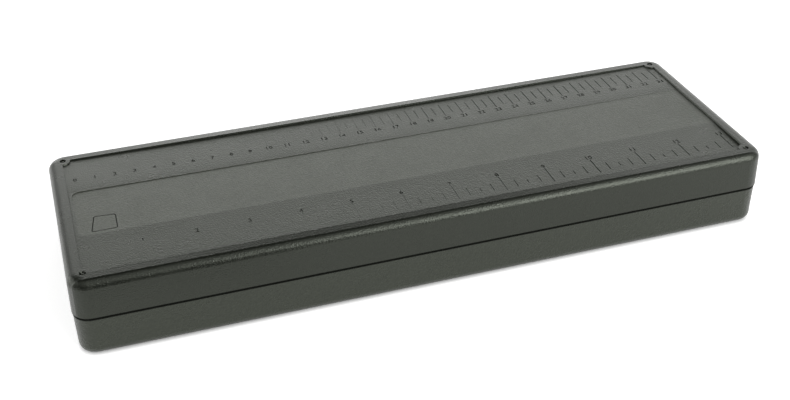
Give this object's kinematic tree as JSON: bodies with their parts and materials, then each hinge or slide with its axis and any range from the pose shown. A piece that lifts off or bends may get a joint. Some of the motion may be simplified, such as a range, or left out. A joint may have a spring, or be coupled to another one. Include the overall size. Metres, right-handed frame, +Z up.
{
  "type": "rig box",
  "caption": "Flat hinged case for tied fishing rigs, with a ruler panel in the lid and rig boards with hook foam and pins in both halves.",
  "frame": {"origin": "middle of the underside of the closed box", "axes": "+X along the length to the ruler's high end, +Y towards the hinge, +Z up"},
  "size_m": [0.3544, 0.1245, 0.0419],
  "materials": {
    "shell_plastic": "olive grey, fine satin texture",
    "panel_plastic": "olive grey, fine satin texture, engraved",
    "board_plastic": "black, fine texture",
    "foam": "closed-cell foam, matt",
    "pin_plastic": "moulded, pale grey",
    "steel": "bright",
    "magnet": "nickel plated"
  },
  "bodies": {
    "base": {"base_shell": "shell_plastic", "base_rig_board": "board_plastic", "base_hook_foam": "foam", "base_pin_foam": "foam", "base_rig_pins": "pin_plastic", "base_corner_pins": "shell_plastic", "base_magnets": "magnet", "base_magnet_caps": "board_plastic", "hinge_pin_left": "steel", "hinge_pin_right": "steel"},
    "lid": {"lid_shell": "shell_plastic", "ruler_panel": "panel_plastic", "lid_corner_pins": "shell_plastic", "lid_rig_board": "board_plastic", "lid_hook_foam": "foam", "lid_pin_foam": "foam", "lid_rig_pins": "pin_plastic", "lid_magnets": "magnet", "lid_magnet_caps": "board_plastic"}
  },
  "joints": [
    {"name": "lid_hinge", "type": "hinge", "parent": "base", "child": "lid", "pos_m": [0, 0.0624, 0.02115], "axis": [-1, 0, 0], "range_deg": [0, 180]}
  ]
}
